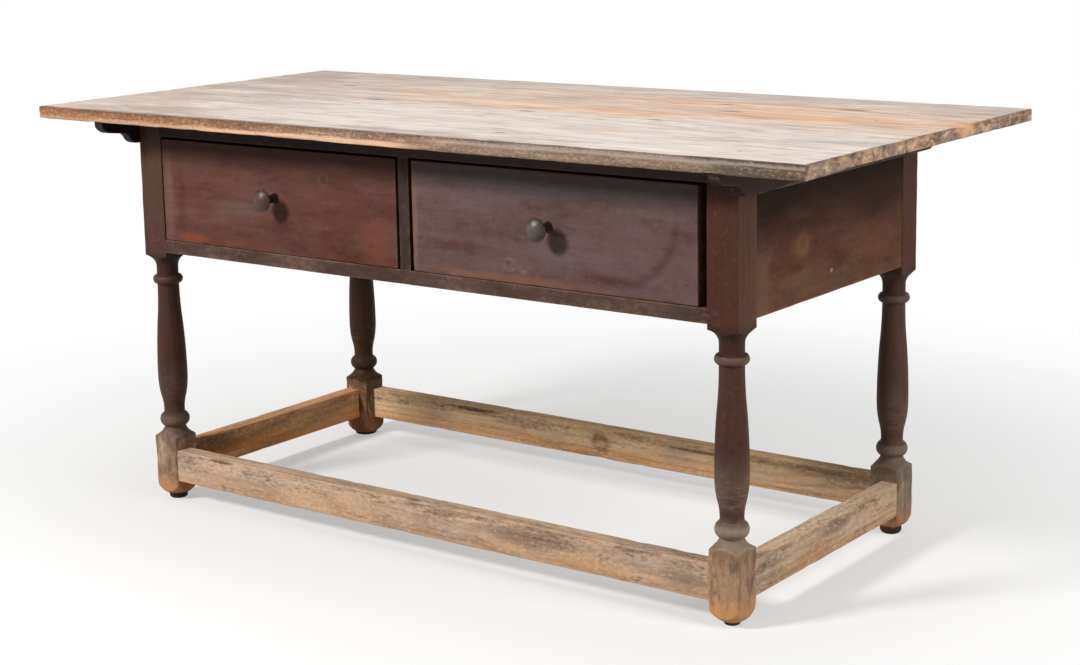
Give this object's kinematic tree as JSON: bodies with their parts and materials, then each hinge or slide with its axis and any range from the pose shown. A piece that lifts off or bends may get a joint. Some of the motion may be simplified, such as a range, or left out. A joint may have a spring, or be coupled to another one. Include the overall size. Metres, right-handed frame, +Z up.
{
  "type": "tavern table",
  "caption": "Plank-top tavern table on turned legs with box stretchers and two wide drawers side by side under the overhanging top.",
  "frame": {"origin": "on the floor, under the middle of the top", "axes": "+X along the table to the right seen from the drawers, +Y from the drawers to the back, +Z up"},
  "size_m": [1.586, 0.771, 0.737],
  "materials": {
    "scrubbed_pine": "scrubbed, worn bare",
    "old_paint": "old red-brown paint, worn",
    "worn_wood": "bare and worn, traces of paint",
    "peg_wood": "cut end grain",
    "bare_pine": "planed, never painted",
    "knob_wood": "dark, satin",
    "iron": "dull, forged"
  },
  "bodies": {
    "frame": {"top_front_board": "scrubbed_pine", "top_middle_board": "scrubbed_pine", "top_back_board": "scrubbed_pine", "front_left_leg": "old_paint", "front_right_leg": "old_paint", "back_left_leg": "old_paint", "back_right_leg": "old_paint", "upper_front_rail": "old_paint", "lower_front_rail": "old_paint", "drawer_divider": "old_paint", "left_apron": "old_paint", "right_apron": "old_paint", "back_apron": "old_paint", "left_batten": "old_paint", "right_batten": "old_paint", "front_stretcher": "worn_wood", "back_stretcher": "worn_wood", "left_stretcher": "worn_wood", "right_stretcher": "worn_wood", "top_pegs": "peg_wood", "batten_pins": "peg_wood", "rail_pegs": "peg_wood", "apron_pegs": "peg_wood", "stretcher_pegs": "peg_wood", "left_runner": "bare_pine", "centre_runner": "bare_pine", "right_runner": "bare_pine", "left_kicker": "bare_pine", "centre_kicker": "bare_pine", "right_kicker": "bare_pine", "drawer_stops": "bare_pine", "frame_nails": "iron"},
    "left_drawer": {"left_drawer_front": "old_paint", "left_drawer_left_side": "bare_pine", "left_drawer_right_side": "bare_pine", "left_drawer_back": "bare_pine", "left_drawer_bottom": "bare_pine", "left_drawer_knob": "knob_wood", "left_drawer_nails": "iron"},
    "right_drawer": {"right_drawer_front": "old_paint", "right_drawer_left_side": "bare_pine", "right_drawer_right_side": "bare_pine", "right_drawer_back": "bare_pine", "right_drawer_bottom": "bare_pine", "right_drawer_knob": "knob_wood", "right_drawer_nails": "iron"}
  },
  "joints": [
    {"name": "left_drawer_slide", "type": "slide", "parent": "frame", "child": "left_drawer", "axis": [0, -1, 0], "range_m": [0, 0.37]},
    {"name": "right_drawer_slide", "type": "slide", "parent": "frame", "child": "right_drawer", "axis": [0, -1, 0], "range_m": [0, 0.37]}
  ]
}
